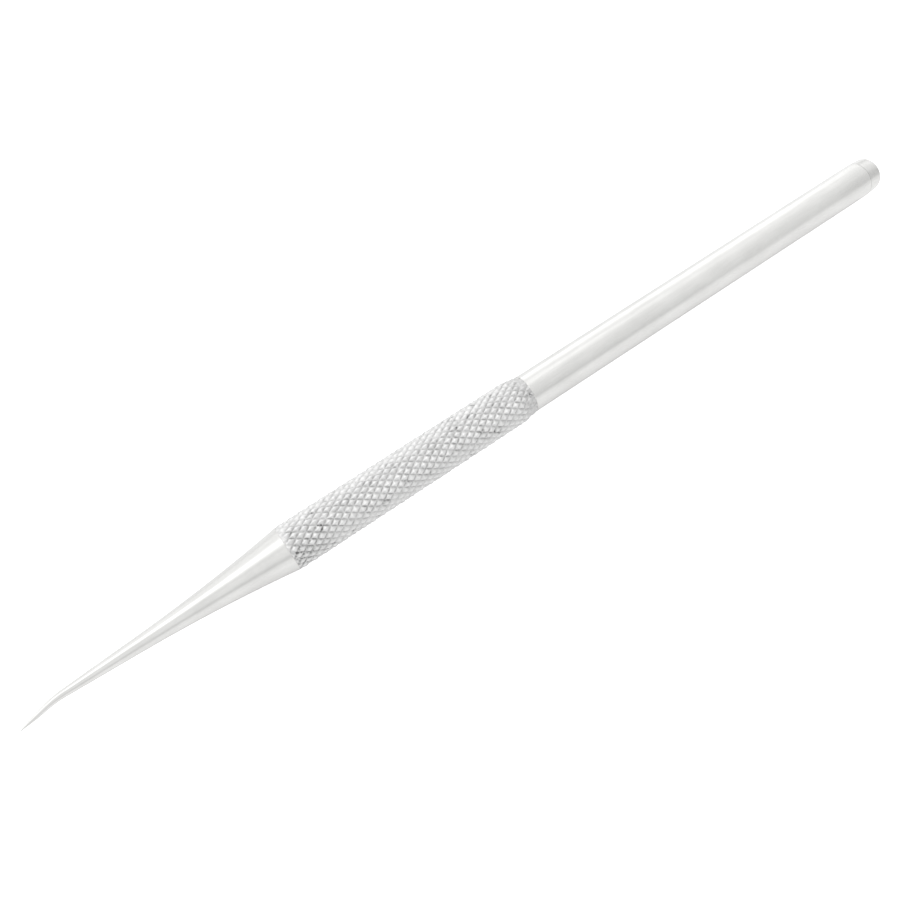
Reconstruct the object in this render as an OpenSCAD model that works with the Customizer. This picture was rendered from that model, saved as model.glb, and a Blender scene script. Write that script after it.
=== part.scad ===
// All-steel scratch awl: a slim bent-tip point, a diamond-knurled grip and a plain tubular tail.
// It lies along X on the plane z = 0, tip towards -X and tail towards +X.

/* [Overall] */
// Length from the needle tip to the end of the tail
overall_length = 152.6; // [130:0.1:180]

/* [Point] */
// Length of the point, from its tip to the shoulder that meets the grip
point_length = 40; // [34:0.1:60]
// Diameter of the point at that shoulder
shoulder_d = 6.76; // [6:0.01:6.8]
// Length of the slim needle, from the tip to where the flare starts
needle_length = 17.4; // [14:0.1:26]
// Diameter of the needle where the flare starts
needle_d = 2.24; // [2:0.01:2.8]
// Length of the sharpened end of the needle
sharp_length = 2.8; // [1.5:0.1:3]
// Diameter of the needle where the sharpening ends
sharp_d = 0.78; // [0.5:0.01:0.9]
// Diameter of the flat left on the very tip
tip_d = 0.08; // [0.04:0.01:0.2]

/* [Bend of the tip] */
// Distance from the tip at which the bend starts, measured along the needle
bend_start = 7; // [6.5:0.1:10]
// Length of the needle that is curved
bend_length = 2.4; // [1.5:0.1:3.4]
// Angle through which the tip is bent
bend_angle = 12; // [4:0.5:20]

/* [Grip] */
// Diameter over the crests of the knurl
grip_d = 6.9; // [6.8:0.05:7.5]
// Length of the knurled grip
grip_length = 40.8; // [35:0.1:50]
// Length of the lead-in chamfer at the front of the grip
front_chamfer = 0.6; // [0.4:0.1:2]
// Length of the run-out taper at the back of the grip
back_taper = 2.4; // [1:0.1:4]

/* [Tail] */
// Outer diameter of the tail tube
tail_d = 6; // [5.6:0.05:6.4]
// Wall of the tail tube
tail_wall = 0.8; // [0.5:0.05:1]
// Length of the end plug's head, outside the tube
plug_head = 2.7; // [1.5:0.1:4]
// Diameter of that head at its nose
plug_nose_d = 5.7; // [5:0.05:5.95]
// Radius of the rounding around the nose
plug_rounding = 0.6; // [0.2:0.05:1]

/* [Fixed joints] */
// Diameter of the point's tang and of the socket that holds it
tang_d = 4; // [3:0.1:4.5]
// Length of the tang inside the grip
tang_length = 14; // [8:0.5:18]
// Length of the grip's spigot inside the tail tube
spigot_length = 10; // [6:0.5:16]
// Length of the end plug's stem inside the tail tube
stem_length = 5; // [3:0.5:10]
// Small chamfer on the leading edge of each pressed-in end
lead_chamfer = 0.4; // [0.2:0.05:0.6]

/* [Hidden] */
steel = [0.80, 0.80, 0.79];
knurled_steel = [0.68, 0.68, 0.68];
plug_steel = [0.74, 0.74, 0.73];

// Radii
tip_r = tip_d / 2;
sharp_r = sharp_d / 2;
needle_r = needle_d / 2;
shoulder_r = shoulder_d / 2;
grip_r = grip_d / 2;
tail_r = tail_d / 2;
tube_bore_r = tail_r - tail_wall;
tang_r = tang_d / 2;
plug_nose_r = plug_nose_d / 2;

// The bent end of the needle: the bend's own radius and how far it reaches along X
bend_r = bend_length * 180 / (bend_angle * PI);
bent_straight = bend_start - bend_length;
bent_reach = bend_r * sin(bend_angle) + bent_straight * cos(bend_angle);

// Stations along X
tip_x = -overall_length / 2;
bend_x = tip_x + bent_reach;
shoulder_x = bend_x + point_length - bend_start;
tail_x = shoulder_x + grip_length;
tail_end_x = overall_length / 2;
seam_x = tail_end_x - plug_head;

// The socket is drilled a little deeper than the tang, with the drill's own cone at its end
socket_spare = 1;
drill_half_angle = 59;
socket_x = shoulder_x + tang_length + socket_spare;
socket_tip_x = socket_x + tang_r / tan(drill_half_angle);

// The flare starts at the needle's own slope and steepens evenly up to the shoulder
needle_slope = (needle_r - sharp_r) / (needle_length - sharp_length);
flare_length = point_length - needle_length;
flare_gain = (shoulder_r - needle_r - needle_slope * flare_length) / (flare_length * flare_length);
flare_steps = 12;

// Facets: fine on turned surfaces, coarser on the short bent tip
turned_fn = 96;
bent_sides = 20;
bent_steps = 5;
buried = 0.3;
buried_shrink = 0.9;
rim_gap = 0.05;

// Radius of the point at a distance u from its tip
function flare_r(v) = needle_r + needle_slope * v + flare_gain * v * v;
function point_r(u) =
    u < sharp_length ? tip_r + (sharp_r - tip_r) * u / sharp_length
    : u < needle_length ? sharp_r + needle_slope * (u - sharp_length)
    : flare_r(u - needle_length);

// Angle of the bent centre line at a distance v ahead of the bend's start
function bent_angle(v) = bend_angle * max(0, min(v / bend_length, 1));

// Its place there, as [ahead, sideways]
function bent_place(v) =
    v <= 0 ? [v, 0]
    : let (a = bent_angle(v), rest = max(0, v - bend_length))
      [bend_r * sin(a) + rest * cos(a), bend_r * (1 - cos(a)) + rest * sin(a)];

// One ring of points around the bent centre line, of radius r
function bent_ring(v, r) =
    let (p = bent_place(v), a = bent_angle(v))
    [for (i = [0 : bent_sides - 1])
        let (t = 360 * i / bent_sides, side = r * cos(t))
        [-p[0] + side * sin(a), -p[1] - side * cos(a), r * sin(t)]];

// A solid turned about the awl's axis, from [radius, x] points
module turned(profile) {
    translate([0, 0, grip_r])
        rotate([0, 90, 0])
            rotate_extrude($fn = turned_fn)
                polygon(profile);
}

// The last few millimetres of the needle, swept along the bend, rooted just inside the straight part
module bent_tip() {
    curve = [for (k = [0 : bent_steps]) rim_gap + (bend_length - rim_gap) * k / bent_steps];
    straight = [bend_start - sharp_length, bend_start];
    root = bent_ring(-buried, point_r(bend_start) * buried_shrink);
    rings = [root, for (v = concat(curve, straight)) bent_ring(v, point_r(bend_start - v))];
    last = len(rings) - 1;
    n = bent_sides;
    skin = [
        for (k = [0 : last - 1], i = [0 : n - 1])
            let (j = (i + 1) % n)
            each [
                [k * n + i, (k + 1) * n + j, k * n + j],
                [k * n + i, (k + 1) * n + i, (k + 1) * n + j]
            ]
    ];
    back_cap = [[for (i = [0 : n - 1]) i]];
    front_cap = [[for (i = [n - 1 : -1 : 0]) last * n + i]];
    translate([bend_x, 0, grip_r])
        polyhedron(points = [for (ring = rings) each ring], faces = concat(skin, back_cap, front_cap));
}

// The hardened point: bent needle, concave flare, and the tang that is pressed into the grip
module point() {
    flare = [
        for (k = [0 : flare_steps])
            let (v = flare_length * k / flare_steps)
            [flare_r(v), shoulder_x - flare_length + v]
    ];
    tang_end_x = shoulder_x + tang_length;
    tang = [
        [tang_r, shoulder_x],
        [tang_r, tang_end_x - lead_chamfer],
        [tang_r - lead_chamfer, tang_end_x],
        [0, tang_end_x]
    ];
    needle_root = [[0, bend_x], [point_r(bend_start), bend_x]];
    color(steel) {
        turned(concat(needle_root, flare, tang));
        bent_tip();
    }
}

// The grip: a bar turned to the knurl's crests, with the point's socket in front and a spigot behind
module knurled_grip() {
    spigot_end_x = tail_x + spigot_length;
    color(knurled_steel)
        turned([
            [0, socket_tip_x],
            [tang_r, socket_x],
            [tang_r, shoulder_x],
            [shoulder_r, shoulder_x],
            [grip_r, shoulder_x + front_chamfer],
            [grip_r, tail_x - back_taper],
            [tail_r, tail_x],
            [tube_bore_r, tail_x],
            [tube_bore_r, spigot_end_x - lead_chamfer],
            [tube_bore_r - lead_chamfer, spigot_end_x],
            [0, spigot_end_x]
        ]);
}

// The tail: a plain drawn tube over the grip's spigot
module tail_tube() {
    color(steel)
        turned([
            [tube_bore_r, tail_x],
            [tail_r, tail_x],
            [tail_r, seam_x],
            [tube_bore_r, seam_x]
        ]);
}

// The end plug: a stem pressed into the tube and a head with a rounded nose
module end_plug() {
    stem_x = seam_x - stem_length;
    nose = [
        for (a = [0 : 15 : 90])
            [plug_nose_r - plug_rounding * (1 - cos(a)), tail_end_x - plug_rounding * (1 - sin(a))]
    ];
    stem = [
        [0, stem_x],
        [tube_bore_r - lead_chamfer, stem_x],
        [tube_bore_r, stem_x + lead_chamfer],
        [tube_bore_r, seam_x],
        [tail_r, seam_x]
    ];
    color(plug_steel) turned(concat(stem, nose, [[0, tail_end_x]]));
}

point();
knurled_grip();
tail_tube();
end_plug();
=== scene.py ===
import math
import random

import bpy
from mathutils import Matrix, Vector


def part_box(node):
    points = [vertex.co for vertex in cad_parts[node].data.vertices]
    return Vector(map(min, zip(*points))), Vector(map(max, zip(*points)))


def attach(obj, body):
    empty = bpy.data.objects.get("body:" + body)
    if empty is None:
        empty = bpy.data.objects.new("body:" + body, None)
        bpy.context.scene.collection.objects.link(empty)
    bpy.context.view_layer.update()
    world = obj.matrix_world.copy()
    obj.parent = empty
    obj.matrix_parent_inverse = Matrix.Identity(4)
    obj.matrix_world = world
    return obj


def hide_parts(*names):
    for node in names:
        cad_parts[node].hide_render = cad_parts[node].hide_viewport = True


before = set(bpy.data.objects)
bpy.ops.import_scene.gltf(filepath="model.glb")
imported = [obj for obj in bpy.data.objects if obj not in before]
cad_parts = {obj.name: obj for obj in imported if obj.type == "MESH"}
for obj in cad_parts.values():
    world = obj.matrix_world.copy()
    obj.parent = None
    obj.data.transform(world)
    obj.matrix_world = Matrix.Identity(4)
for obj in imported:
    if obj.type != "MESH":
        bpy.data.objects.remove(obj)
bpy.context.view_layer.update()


# ---------------------------------------------------------------------------
# The point: one length of hardened steel, ground to a slim needle with a short sharpened end, a
# concave flare that swells to the grip, and a plain tang behind the shoulder. The tang is pressed
# into the grip. The last few millimetres of the needle are bent sideways in one smooth curve.

MM = 0.001

point_low, point_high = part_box("point")
grip_low, grip_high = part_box("knurled_grip")
axis_z = (grip_low.z + grip_high.z) / 2
tip_x = point_low.x
shoulder_x = grip_low.x

shoulder_r = 3.38 * MM
tang_r = 2.0 * MM
tang_chamfer = 0.4 * MM
needle_r = 1.12 * MM
needle_length = 17.4 * MM
sharp_r = 0.39 * MM
sharp_length = 2.8 * MM
sharp_blend = 0.02 * MM
tip_r = 0.04 * MM
edge_break = 0.04 * MM

bend_start = 7.0 * MM
bend_length = 2.4 * MM
bend_angle = math.radians(12)
bend_r = bend_length / bend_angle
bent_reach = bend_r * math.sin(bend_angle) + (bend_start - bend_length) * math.cos(bend_angle)
bend_x = tip_x + bent_reach
point_length = shoulder_x - bend_x + bend_start
needle_slope = (needle_r - sharp_r) / (needle_length - sharp_length)
flare_length = point_length - needle_length
flare_gain = (shoulder_r - needle_r - needle_slope * flare_length) / flare_length**2


def point_radius(from_tip):
    """Radius of the needle and its flare at a distance from the tip."""
    if from_tip > needle_length:
        flared = from_tip - needle_length
        return needle_r + needle_slope * flared + flare_gain * flared**2
    sharpened = tip_r + (sharp_r - tip_r) * from_tip / sharp_length
    slim = sharp_r + needle_slope * (from_tip - sharp_length)
    gap = sharpened - slim
    return (sharpened + slim - math.sqrt(gap**2 + sharp_blend**2)) / 2


def bent_line(from_tip):
    """Where the needle's centre is at a distance from the tip, and which way it runs."""
    ahead = bend_start - from_tip
    if ahead <= 0:
        return Vector((bend_x - ahead, 0, axis_z)), 0.0
    angle = bend_angle * min(ahead / bend_length, 1)
    rest = max(0, ahead - bend_length)
    reach = bend_r * math.sin(angle) + rest * math.cos(angle)
    drift = bend_r * (1 - math.cos(angle)) + rest * math.sin(angle)
    return Vector((bend_x - reach, -drift, axis_z)), angle


def straight_line(x):
    """The awl's own axis, as bent_line gives the needle's."""
    return Vector((x, 0, axis_z)), 0.0


def turned_ring(line, station, radius, sides):
    """Points around one place on a centre line. The radius may be a function of the step around."""
    centre, angle = line(station)
    ring = []
    for k in range(sides):
        turn = 2 * math.pi * k / sides
        r = radius(k) if callable(radius) else radius
        side = r * math.cos(turn)
        rise = r * math.sin(turn)
        ring.append(centre + Vector((side * math.sin(angle), -side * math.cos(angle), rise)))
    return ring


def ring_skin(name, rings, start, end, split=None):
    """A closed mesh over a row of equal rings, with a fan to a point at each end that has one."""
    sides = len(rings[0])
    points = [p for ring in rings for p in ring]
    faces = []
    for row in range(len(rings) - 1):
        for k in range(sides):
            a, b = row * sides + k, row * sides + (k + 1) % sides
            c, d = b + sides, a + sides
            way = split(row, k) if split else 0
            if way == 0:
                faces.append((a, b, c, d))
            elif way == 1:
                faces += [(a, b, c), (a, c, d)]
            else:
                faces += [(a, b, d), (b, c, d)]
    for centre, row, flip in ((start, 0, True), (end, len(rings) - 1, False)):
        if centre is None:
            continue
        points.append(centre)
        hub = len(points) - 1
        for k in range(sides):
            a, b = row * sides + k, row * sides + (k + 1) % sides
            faces.append((b, a, hub) if flip else (a, b, hub))
    if start is None:
        last = (len(rings) - 1) * sides
        faces += [(last + k, last + (k + 1) % sides, (k + 1) % sides, k) for k in range(sides)]
    mesh = bpy.data.meshes.new(name)
    mesh.from_pydata(points, [], faces)
    mesh.validate()
    piece = bpy.data.objects.new(name, mesh)
    bpy.context.scene.collection.objects.link(piece)
    return piece


def soften(piece, sharp_degrees):
    """Smooth shading, broken only where the surface turns by more than the angle."""
    piece.data.shade_smooth()
    piece.data.set_sharp_from_angle(angle=math.radians(sharp_degrees))


class Feed:
    """A node's output in a finish. Sums and products of feeds add Math nodes to its tree."""

    def __init__(self, tree, socket=None):
        self.tree = tree
        self.socket = socket

    def node(self, kind, settings=None, sockets=None, out=0):
        made = self.tree.nodes.new(kind)
        for key, value in (settings or {}).items():
            if key == "stops":
                ramp = made.color_ramp.elements
                while len(ramp) < len(value):
                    ramp.new(0.5)
                for stop, (place, shade) in zip(ramp, value):
                    stop.position = place
                    stop.color = (shade, shade, shade, 1)
            else:
                setattr(made, key, value)
        for key, value in (sockets or {}).items():
            if isinstance(value, Feed):
                self.tree.links.new(value.socket, made.inputs[key])
            else:
                made.inputs[key].default_value = value
        return Feed(self.tree, made.outputs[out])

    def math(self, operation, other=0.0):
        return self.node("ShaderNodeMath", {"operation": operation}, {0: self, 1: other})

    def __add__(self, other):
        return self.math("ADD", other)

    __radd__ = __add__

    def __sub__(self, other):
        return self.math("SUBTRACT", other)

    def __rsub__(self, other):
        return self * -1 + other

    def __mul__(self, other):
        return self.math("MULTIPLY", other)

    __rmul__ = __mul__

    def split(self):
        """The three parts of a vector."""
        parts = self.node("ShaderNodeSeparateXYZ", sockets={0: self}).socket.node.outputs
        return [Feed(self.tree, part) for part in parts]

    def within(self, low, high):
        """0 below low, 1 above high, and a straight rise between."""
        settings = {"interpolation_type": "LINEAR", "clamp": True}
        sockets = {"Value": self, "From Min": low, "From Max": high}
        return self.node("ShaderNodeMapRange", settings, sockets)


def new_finish(name):
    """An empty material: its metal shader, and a feed of places on the piece in millimetres."""
    material = bpy.data.materials.new(name)
    material.use_nodes = True
    tree = material.node_tree
    tree.nodes.clear()
    output = tree.nodes.new("ShaderNodeOutputMaterial")
    metal = tree.nodes.new("ShaderNodeBsdfPrincipled")
    tree.links.new(metal.outputs[0], output.inputs[0])
    metal.inputs["Metallic"].default_value = 1.0
    start = Feed(tree)
    place = start.node("ShaderNodeTexCoord", out="Object")
    in_mm = start.node("ShaderNodeVectorMath", {"operation": "SCALE"}, {0: place, "Scale": 1000.0})
    return material, metal, in_mm


def stretched_noise(places, stretch, scale, detail=2.0, out="Fac"):
    """Noise over the piece, drawn out along an axis where its stretch is small."""
    spread = places.node("ShaderNodeVectorMath", {"operation": "MULTIPLY"}, {0: places, 1: stretch})
    sockets = {"Vector": spread, "Scale": scale, "Detail": detail, "Roughness": 0.55}
    return places.node("ShaderNodeTexNoise", sockets=sockets, out=out)


def tinted(feed, low, high):
    """A colour between two, by the feed."""
    return feed.node("ShaderNodeMix", {"data_type": "RGBA"}, {0: feed, 6: low, 7: high}, out=2)


def connect(feed, shader, name):
    """Lets a feed drive one of a shader's sockets."""
    feed.tree.links.new(feed.socket, shader.inputs[name])


def polished_steel(name, ring_marks, drawn_marks, roughness):
    """Polished steel that keeps faint marks of its making: rings from turning, lines from drawing."""
    material, metal, places = new_finish(name)
    rings = stretched_noise(places, (9.0, 0.12, 0.12), 4.0, 3.0)
    lines = stretched_noise(places, (0.05, 3.0, 3.0), 4.0, 3.0)
    smudge = stretched_noise(places, (0.5, 1.0, 1.0), 0.35, 3.0)
    hairline = (stretched_noise(places, (0.35, 1.6, 1.1), 1.1, 1.0) - 0.5).math("ABSOLUTE")
    hair = 1 - hairline.within(0.0, 0.006)
    rough = roughness + (smudge - 0.5) * 0.10 + (rings - 0.5) * 0.05 + hair * 0.10
    connect(rough, metal, "Roughness")
    tone = smudge * 0.5 + rings * 0.3 + lines * 0.3
    bright_steel = (0.642, 0.641, 0.631, 1)
    grey_steel = (0.552, 0.551, 0.541, 1)
    connect(tinted(tone.within(0.35, 0.75), bright_steel, grey_steel), metal, "Base Color")
    height = rings * ring_marks + lines * drawn_marks - hair * 0.35
    sockets = {"Strength": 0.35, "Distance": 0.01 * MM, "Height": height}
    connect(height.node("ShaderNodeBump", sockets=sockets), metal, "Normal")
    return material


point_sides = 96
fine_length = 9 * MM
fine_gap = 0.35 * MM
flare_rows = 60
rest_length = point_length - fine_length - edge_break
stations = [fine_gap * k for k in range(1, int(fine_length / fine_gap))]
stations += [fine_length + rest_length * k / flare_rows for k in range(flare_rows + 1)]
tip_round = [(0.2, 0.45), (0.5, 0.75), (1.0, 0.93)]
needle = [
    turned_ring(bent_line, tip_r * along, point_radius(0) * across, point_sides)
    for along, across in tip_round
]
needle += [turned_ring(bent_line, s, point_radius(s), point_sides) for s in stations]
tang_end_x = point_high.x
behind = [
    (shoulder_x, shoulder_r - edge_break),
    (shoulder_x, tang_r),
    (tang_end_x - tang_chamfer, tang_r),
    (tang_end_x, tang_r - tang_chamfer),
]
needle += [turned_ring(straight_line, x, r, point_sides) for x, r in behind]
point = ring_skin(
    "ground_point", needle, bent_line(0)[0], Vector((tang_end_x, 0, axis_z)))
soften(point, 35)
ground_steel = polished_steel(
    "ground_and_polished_steel", ring_marks=1.0, drawn_marks=0.15, roughness=0.19)
point.data.materials.append(ground_steel)
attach(point, "root")
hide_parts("point")


# ---------------------------------------------------------------------------
# The knurled grip: a steel bar rolled between two cutters, which leave crossing helical grooves with
# small pyramids between them. Its ends are then turned: a short chamfer at the point's shoulder and a
# longer taper down to the tail. It has a drilled socket for the tang and a spigot for the tube.

tail_low, tail_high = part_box("tail_tube")
tail_x = tail_low.x
grip_r = (grip_high.z - grip_low.z) / 2
tail_r = (tail_high.z - tail_low.z) / 2
spigot_r = 2.2 * MM
socket_length = 15.0 * MM
drill_half_angle = math.radians(59)
front_chamfer = 0.6 * MM
back_taper = 2.4 * MM

knurl_starts = 18
knurl_rows = 25.5
knurl_depth = 0.28 * MM
run_out_length = 1.6 * MM
lead_in_length = 0.8 * MM
back_share = 0.55
front_share = 0.45
peak_wander = 0.16
worn_heights = (0.70, 0.95)
steps = 14

knurl_pitch = (tail_x - shoulder_x) / knurl_rows
grip_sides = knurl_starts * steps


def turned_envelope(x):
    """Radius that the turned ends leave at a place along the grip."""
    front = shoulder_r + (grip_r - shoulder_r) * (x - shoulder_x) / front_chamfer
    back = tail_r + (grip_r - tail_r) * (tail_x - x) / back_taper
    return min(front, back, grip_r)


pyramids = {}
chance = random.Random(7)


def pyramid(left, right):
    """The small irregularities of one pyramid: where its peak leans and how far it is worn."""
    name = (left - right, (left + right) % (2 * knurl_starts))
    if name not in pyramids:
        peak_left = 0.5 + chance.uniform(-peak_wander, peak_wander)
        peak_right = 0.5 + chance.uniform(-peak_wander, peak_wander)
        pyramids[name] = (peak_left, peak_right, chance.uniform(*worn_heights))
    return pyramids[name]


def knurl_rise(row, k):
    """Height of the knurl from 0 in a groove to 1 on a crest, at a row and step around."""
    left, right = (k + row) / steps, (k - row) / steps
    peak_left, peak_right, worn = pyramid(math.floor(left), math.floor(right))
    left, right = left % 1, right % 1
    left_flank = min(left / peak_left, (1 - left) / (1 - peak_left))
    right_flank = min(right / peak_right, (1 - right) / (1 - peak_right))
    return min(left_flank, right_flank, worn) / worn


def knurled_ring(row):
    """One ring of the knurl. Its grooves have their full depth only away from both ends."""
    x = shoulder_x + row * knurl_pitch / steps
    crest_r = turned_envelope(x)
    back_depth = back_share + (1 - back_share) * (tail_x - x) / run_out_length
    front_depth = front_share + (1 - front_share) * (x - shoulder_x) / lead_in_length
    run_out = min(1, back_depth, front_depth)

    def radius(k):
        return crest_r - knurl_depth * run_out * (1 - knurl_rise(row, k))

    return turned_ring(straight_line, x, radius, grip_sides)


def groove_way(row, k):
    """Which way a knurl face is split, so that its edge follows the groove that crosses it."""
    if (k + row + 1) % steps == 0:
        return 2
    if (k - row) % steps == 0:
        return 1
    return 0


socket_x = shoulder_x + socket_length
drill_tip = Vector((socket_x + tang_r / math.tan(drill_half_angle), 0, axis_z))
spigot_end_x = grip_high.x
inner_rows = [(socket_x, tang_r), (shoulder_x, tang_r)]
rows = round(knurl_rows * steps)
outer_rows = [
    (tail_x, spigot_r),
    (spigot_end_x - tang_chamfer, spigot_r),
    (spigot_end_x, spigot_r - tang_chamfer),
]
bar = [turned_ring(straight_line, x, r, grip_sides) for x, r in inner_rows]
bar += [knurled_ring(row) for row in range(rows + 1)]
bar += [turned_ring(straight_line, x, r, grip_sides) for x, r in outer_rows]
first = len(inner_rows)


def bar_split(row, k):
    """Which way a face of the bar is split. Only those of the knurl are."""
    inside = first <= row < first + rows
    return groove_way(row - first, k) if inside else 0


grip = ring_skin("diamond_knurl_grip", bar, drill_tip, Vector((spigot_end_x, 0, axis_z)), bar_split)
soften(grip, 60)


def knurled_steel(name):
    """Steel straight from the knurling wheels: bright worn crests over rougher grooves darkened by
    painted shade.
    """
    material, metal, places = new_finish(name)
    along, across, height = places.split()
    up = height - axis_z / MM
    radius = (across * across + up * up).math("SQRT")
    crest = radius.within((grip_r - knurl_depth) / MM, (grip_r - 0.25 * knurl_depth) / MM)
    speck = stretched_noise(places, (1.0, 1.0, 1.0), 4.0, 4.0)
    smudge = stretched_noise(places, (0.4, 1.0, 1.0), 0.4, 2.0)
    rough = 0.48 - crest * 0.08 + (speck - 0.5) * 0.3 + (smudge - 0.5) * 0.06
    connect(rough, metal, "Roughness")
    shade = crest * 0.6 + (speck - 0.5) * 1.6 + 0.3
    # The crests' lighter colour is their wear; the grooves' darker colour is painted shade in the
    # recesses.
    groove_steel_with_painted_shade = (0.46, 0.46, 0.457, 1)
    crest_steel = (0.655, 0.655, 0.653, 1)
    steel = tinted(shade.within(0.0, 1.0), groove_steel_with_painted_shade, crest_steel)
    # Dark grey in the grooves: random specks, plus painted shade on the front side near the point's
    # shoulder.
    patch = stretched_noise(places, (0.8, 1.0, 1.0), 0.7, 1.0).within(0.58, 0.72)
    near_shoulder = 1 - along.within(shoulder_x / MM + 1, shoulder_x / MM + 7)
    dark_specks_and_painted_shade = patch + near_shoulder * (across * -1).within(0.5, 2.0)
    dark_specks_and_painted_shade = (dark_specks_and_painted_shade * speck.within(0.46, 0.54) * (1 - crest)).within(0.0, 1.0)
    speck_and_shade_grey = (0.12, 0.12, 0.12, 1)
    connect(tinted(dark_specks_and_painted_shade, steel, speck_and_shade_grey), metal, "Base Color")
    sockets = {"Strength": 0.8, "Distance": 0.03 * MM, "Height": speck}
    connect(speck.node("ShaderNodeBump", sockets=sockets), metal, "Normal")
    return material


grip.data.materials.append(knurled_steel("knurled_steel"))
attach(grip, "root")
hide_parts("knurled_grip")


# ---------------------------------------------------------------------------
# The tail: a length of drawn stainless tube, polished, pressed over the grip's spigot. Both ends are
# faced off and their sharp edges just broken, so a hairline shows where it meets its neighbours.

tube_sides = 128
tube_break = 0.05 * MM
seam_width = 0.04 * MM
seam_depth = 0.08 * MM
tube_profile = [
    (tail_x, spigot_r),
    (tail_x, tail_r - tube_break),
    (tail_x + tube_break, tail_r),
    (tail_high.x - seam_width, tail_r),
    (tail_high.x, tail_r - seam_depth),
    (tail_high.x, spigot_r),
]
tube = ring_skin(
    "drawn_tail_tube",
    [turned_ring(straight_line, x, r, tube_sides) for x, r in tube_profile], None, None)
soften(tube, 35)
drawn_steel = polished_steel(
    "drawn_and_polished_steel", ring_marks=0.3, drawn_marks=1.5, roughness=0.21)
tube.data.materials.append(drawn_steel)
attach(tube, "root")
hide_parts("tail_tube")


# ---------------------------------------------------------------------------
# The end plug: a turned steel plug that closes the tube. Its stem is pressed in up to the head,
# which is turned slightly smaller towards its nose and rounded over.

plug_low, plug_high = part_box("end_plug")
seam_x = tail_high.x
nose_r = 2.85 * MM
rounding = 0.6 * MM
nose_steps = 12
plug_sides = 128
stem_profile = [
    (plug_low.x, spigot_r - tang_chamfer),
    (plug_low.x + tang_chamfer, spigot_r),
    (seam_x, spigot_r),
    (seam_x, tail_r - seam_depth),
    (seam_x + seam_width, tail_r),
]
nose_profile = [
    (plug_high.x - rounding * (1 - math.sin(a)), nose_r - rounding * (1 - math.cos(a)))
    for a in [math.radians(90 * k / nose_steps) for k in range(nose_steps + 1)]
]
plug = ring_skin(
    "rounded_end_plug",
    [turned_ring(straight_line, x, r, plug_sides) for x, r in stem_profile + nose_profile],
    Vector((plug_low.x, 0, axis_z)), Vector((plug_high.x, 0, axis_z)))
soften(plug, 35)
turned_steel = polished_steel(
    "turned_and_polished_steel", ring_marks=0.8, drawn_marks=0.0, roughness=0.21)
plug.data.materials.append(turned_steel)
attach(plug, "root")
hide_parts("end_plug")


# ---------------------------------------------------------------------------
# The board and the light: a white matt board in a white studio, whose soft light is graded by its
# direction: brighter behind the awl, greyer overhead, greyest low in front and past the tail's end.
# Board and room look brighter to the camera than they shine on the awl, so no shadow shows.

board_side = 3.0
board_glow = 0.08
board_camera_glow = 0.78
room_camera_glow = 0.5
room_strength = 2.17
board_mesh = bpy.data.meshes.new("white_board")
half = board_side / 2
corners = [(-half, -half, 0), (half, -half, 0), (half, half, 0), (-half, half, 0)]
board_mesh.from_pydata(corners, [], [(0, 1, 2, 3)])
board = bpy.data.objects.new("white_board", board_mesh)
bpy.context.scene.collection.objects.link(board)
board_paint = bpy.data.materials.new("white_board_paint")
board_paint.use_nodes = True
board_tree = board_paint.node_tree
paint = board_tree.nodes["Principled BSDF"]
paint.inputs["Base Color"].default_value = (0.90, 0.90, 0.90, 1)
paint.inputs["Roughness"].default_value = 0.9
paint.inputs["Emission Strength"].default_value = 1.0
seen = Feed(board_tree).node("ShaderNodeLightPath", out="Is Camera Ray")
connect(seen * board_camera_glow + board_glow, paint, "Emission Color")
board_mesh.materials.append(board_paint)

room = bpy.data.worlds.new("white_studio")
bpy.context.scene.world = room
room.use_nodes = True
room_tree = room.node_tree
room_tree.nodes.clear()
room_output = room_tree.nodes.new("ShaderNodeOutputWorld")
room_light = room_tree.nodes.new("ShaderNodeBackground")
room_tree.links.new(room_light.outputs[0], room_output.inputs[0])

towards = Feed(room_tree).node("ShaderNodeTexCoord", out="Generated")
to_x, to_y, to_z = towards.split()
# The lean is 0.5 straight up, less towards the wall behind the awl and more towards the front.
lean = (to_y * -1).math("ARCTAN2", to_z) * (0.5 / math.pi) + 0.5


def studio(stops):
    """Brightness around the awl's length, from the wall behind it over the top to the wall in front.

    Each stop is an angle from straight up and a brightness there. A ramp's shades end at 1, so it
    holds half of each brightness."""
    settings = {"stops": [(0.5 + angle / 360, shade / 2) for angle, shade in stops]}
    return lean.node("ShaderNodeValToRGB", settings, {0: lean})


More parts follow.
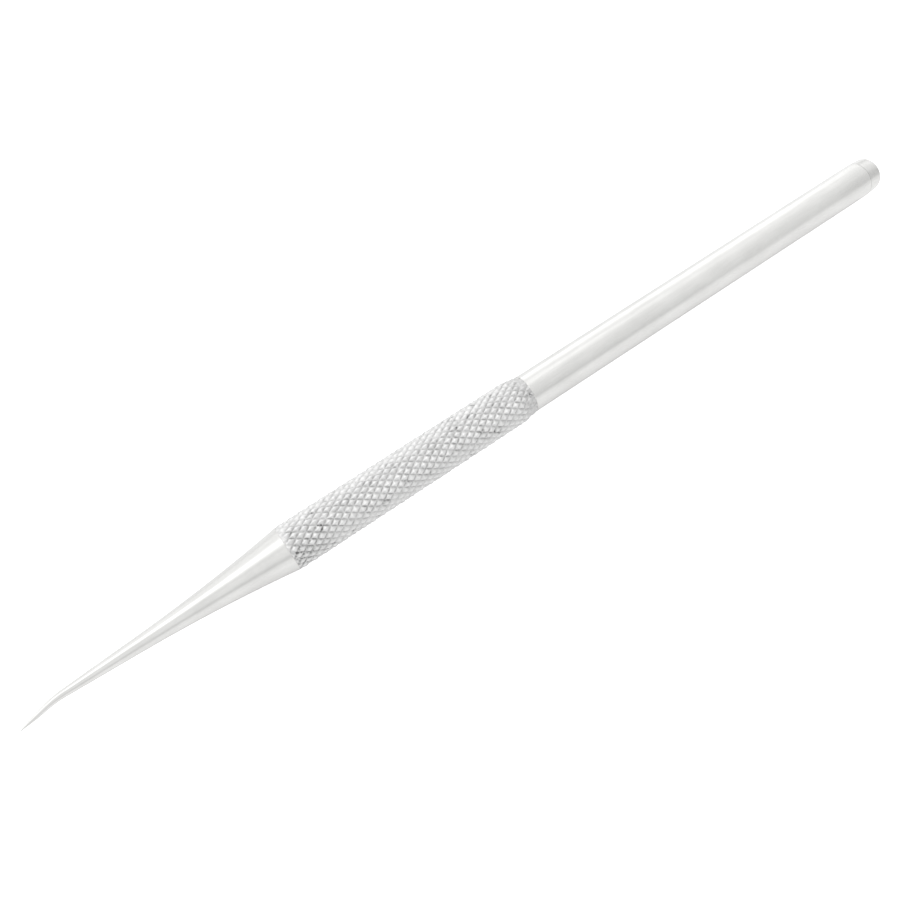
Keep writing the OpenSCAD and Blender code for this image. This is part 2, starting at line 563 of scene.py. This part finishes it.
over_point = studio([
    (-90, 1.14), (-80, 1.26), (-70, 1.36), (-50, 1.30), (-42, 1.50), (-34, 1.9), (-19, 1.9),
    (-8, 1.34), (1, 1.12), (8, 1.10), (18, 1.15), (44, 1.09), (54, 0.93), (62, 0.85),
    (69, 1.06), (79, 1.18), (90, 1.20)])
over_tail = studio([
    (-90, 1.9), (-66, 1.6), (-56, 1.32), (-47, 1.24), (-40, 1.43), (-30, 1.48), (-20, 1.30),
    (-8, 1.18), (12, 1.11), (36, 1.03), (53, 0.93), (61, 0.84), (66, 0.93), (72, 1.12), (80, 1.19),
    (90, 1.20)])
over_end = studio([
    (-90, 1.9), (-66, 1.75), (-54, 1.42), (-44, 1.30), (-30, 1.27), (-20, 1.25), (-8, 1.18),
    (12, 1.14), (36, 1.08), (54, 1.02), (61, 0.98), (67, 1.06), (74, 1.16), (82, 1.20), (90, 1.20)])
over_door = studio([
    (-90, 0.90), (-76, 1.05), (-60, 1.34), (-40, 1.34), (-20, 1.15), (4, 1.06), (16, 0.90),
    (32, 0.80), (60, 0.78), (69, 0.98), (80, 1.12), (90, 1.12)])
to_tail = to_x.within(0.10, 0.36)
to_end = to_x.within(0.48, 0.60)
to_door = to_x.within(0.66, 0.74)
near = over_point * (1 - to_tail) + over_tail * to_tail
far = near * (1 - to_end) + over_end * to_end
around = far * (1 - to_door) + over_door * to_door
seen = Feed(room_tree).node("ShaderNodeLightPath", out="Is Camera Ray")
connect(around + seen * room_camera_glow, room_light, "Color")
room_light.inputs["Strength"].default_value = room_strength


# ---------------------------------------------------------------------------
# The camera: it looks steeply down at the awl from the needle's side, about three quarters of the
# awl's length away, so the needle is nearest and the tail runs away to the upper right.

camera_data = bpy.data.cameras.new("camera")
camera_data.sensor_width = 36.0
camera_data.lens = 32.0
camera_data.clip_start = 0.01
camera_data.clip_end = 20.0
camera = bpy.data.objects.new("camera", camera_data)
camera_distance = 114.87 * MM
camera_tilt = math.radians(67.26)
camera_turn = math.radians(-35.13)
aim = Vector((-9.90 * MM, -0.84 * MM, axis_z))
back = Vector((
    math.cos(camera_tilt) * math.sin(camera_turn),
    -math.cos(camera_tilt) * math.cos(camera_turn),
    math.sin(camera_tilt),
))
camera.location = aim + back * camera_distance
camera.rotation_euler = back.to_track_quat("Z", "Y").to_euler()
bpy.context.scene.collection.objects.link(camera)
bpy.context.scene.camera = camera
bpy.context.scene.view_settings.view_transform = "Standard"
